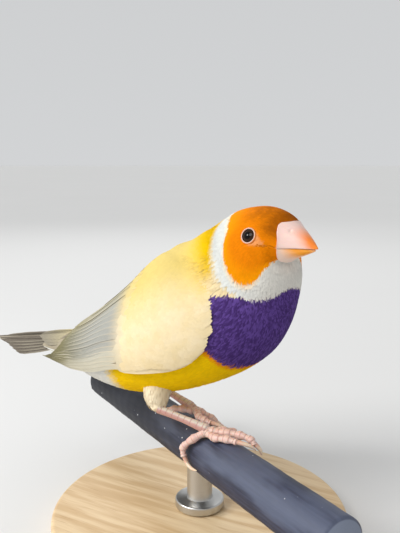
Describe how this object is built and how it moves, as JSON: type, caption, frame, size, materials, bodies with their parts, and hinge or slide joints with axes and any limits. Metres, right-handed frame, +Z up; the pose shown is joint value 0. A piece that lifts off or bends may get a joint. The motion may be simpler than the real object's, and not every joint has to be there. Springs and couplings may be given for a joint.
{
  "type": "gouldian finch, still model on a perch",
  "caption": "Life-size still model of a small yellow-backed finch with an orange face and purple breast, gripping a short cut perch on a plain round display stand.",
  "frame": {"origin": "centre of the display stand's underside", "axes": "+X along the bird's body towards its bill, +Y to the bird's left, +Z up"},
  "size_m": [0.14, 0.084, 0.0931],
  "materials": {
    "head_plumage": "soft matt plumage, orange mask with a pale edge",
    "neck_plumage": "soft matt plumage, blue-white to yellow",
    "body_plumage": "soft matt plumage, yellow with a purple breast",
    "wing_plumage": "smooth flight feathers and coverts, cream yellow",
    "tail_plumage": "smooth tail feathers, grey cream",
    "bill": "horn, satin, ivory pink with an orange tip",
    "eye": "wet, polished, near black",
    "leg_skin": "scaled skin, pink",
    "claw": "horn, satin, pale",
    "perch": "worn slate blue",
    "stand_base": "smooth pale timber, matt lacquer",
    "stand_rod": "brushed"
  },
  "bodies": {
    "root": {"head": "head_plumage", "neck": "neck_plumage", "torso": "body_plumage", "tail": "tail_plumage", "wing_right": "wing_plumage", "wing_left": "wing_plumage", "bill_upper": "bill", "bill_lower": "bill", "eye_right": "eye", "eye_left": "eye", "thigh_right": "body_plumage", "thigh_left": "body_plumage", "foot_right": "leg_skin", "foot_left": "leg_skin", "perch": "perch", "stand_base": "stand_base", "stand_rod": "stand_rod", "claw_right_hind": "claw", "claw_right_inner": "claw", "claw_right_middle": "claw", "claw_right_outer": "claw", "claw_left_hind": "claw", "claw_left_inner": "claw", "claw_left_middle": "claw", "claw_left_outer": "claw"}
  },
  "joints": []
}
